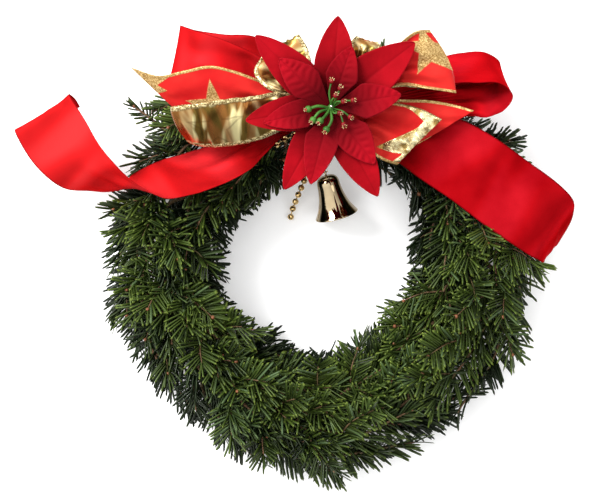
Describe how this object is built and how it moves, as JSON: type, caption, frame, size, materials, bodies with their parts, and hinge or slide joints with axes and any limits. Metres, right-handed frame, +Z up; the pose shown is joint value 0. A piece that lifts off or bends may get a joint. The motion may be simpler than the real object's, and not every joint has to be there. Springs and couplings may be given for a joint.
{
  "type": "evergreen wreath",
  "caption": "Round fir wreath on a straw ring, with a looped satin and glitter-star bow, a silk poinsettia, a bell and strings of beads.",
  "frame": {"origin": "under the middle of the wreath's box, on the flat surface that the wreath lies on", "axes": "+X towards the right of the bow as it is seen from above, +Y towards the bow's end of the wreath, +Z up through the wreath towards its decorated face"},
  "size_m": [0.4864, 0.409, 0.1371],
  "materials": {
    "straw": "dry straw",
    "green_wire": "green lacquered wire",
    "red_satin": "red satin",
    "gold_ribbon": "red cloth with gold glitter stars and edges, gold lame on the reverse",
    "red_silk": "crimson velvety silk",
    "green_plastic": "green stems with red and gold heads",
    "pin_steel": "bright steel",
    "gold_metal": "polished antique gold",
    "gold_bead": "metallised gold",
    "tie_wire": "dull steel wire",
    "fir": "green fir needles on brown twigs"
  },
  "bodies": {
    "root": {"straw_ring": "straw", "binding_wire": "green_wire", "red_ribbon_left_tail": "red_satin", "red_ribbon_right_tail": "red_satin", "red_ribbon_left_loop": "red_satin", "red_ribbon_right_loop": "red_satin", "gold_ribbon_left_tail": "gold_ribbon", "gold_ribbon_left_loop": "gold_ribbon", "gold_ribbon_top_left_loop": "gold_ribbon", "gold_ribbon_top_right_loop": "gold_ribbon", "gold_ribbon_right_upper_loop": "gold_ribbon", "gold_ribbon_right_tail": "gold_ribbon", "gold_ribbon_right_lower_loop": "gold_ribbon", "poinsettia_outer_bracts": "red_silk", "poinsettia_inner_bracts": "red_silk", "poinsettia_stamens": "green_plastic", "centre_pin": "pin_steel", "bell": "gold_metal", "bell_wire": "gold_metal", "bead_chain": "gold_bead", "bead_strand": "gold_bead", "bow_tie": "tie_wire", "fir_spray_01": "fir", "fir_spray_02": "fir", "fir_spray_03": "fir", "fir_spray_04": "fir", "fir_spray_05": "fir", "fir_spray_06": "fir", "fir_spray_07": "fir", "fir_spray_08": "fir", "fir_spray_09": "fir", "fir_spray_10": "fir", "fir_spray_11": "fir", "fir_spray_12": "fir", "fir_spray_13": "fir", "fir_spray_14": "fir"}
  },
  "joints": []
}
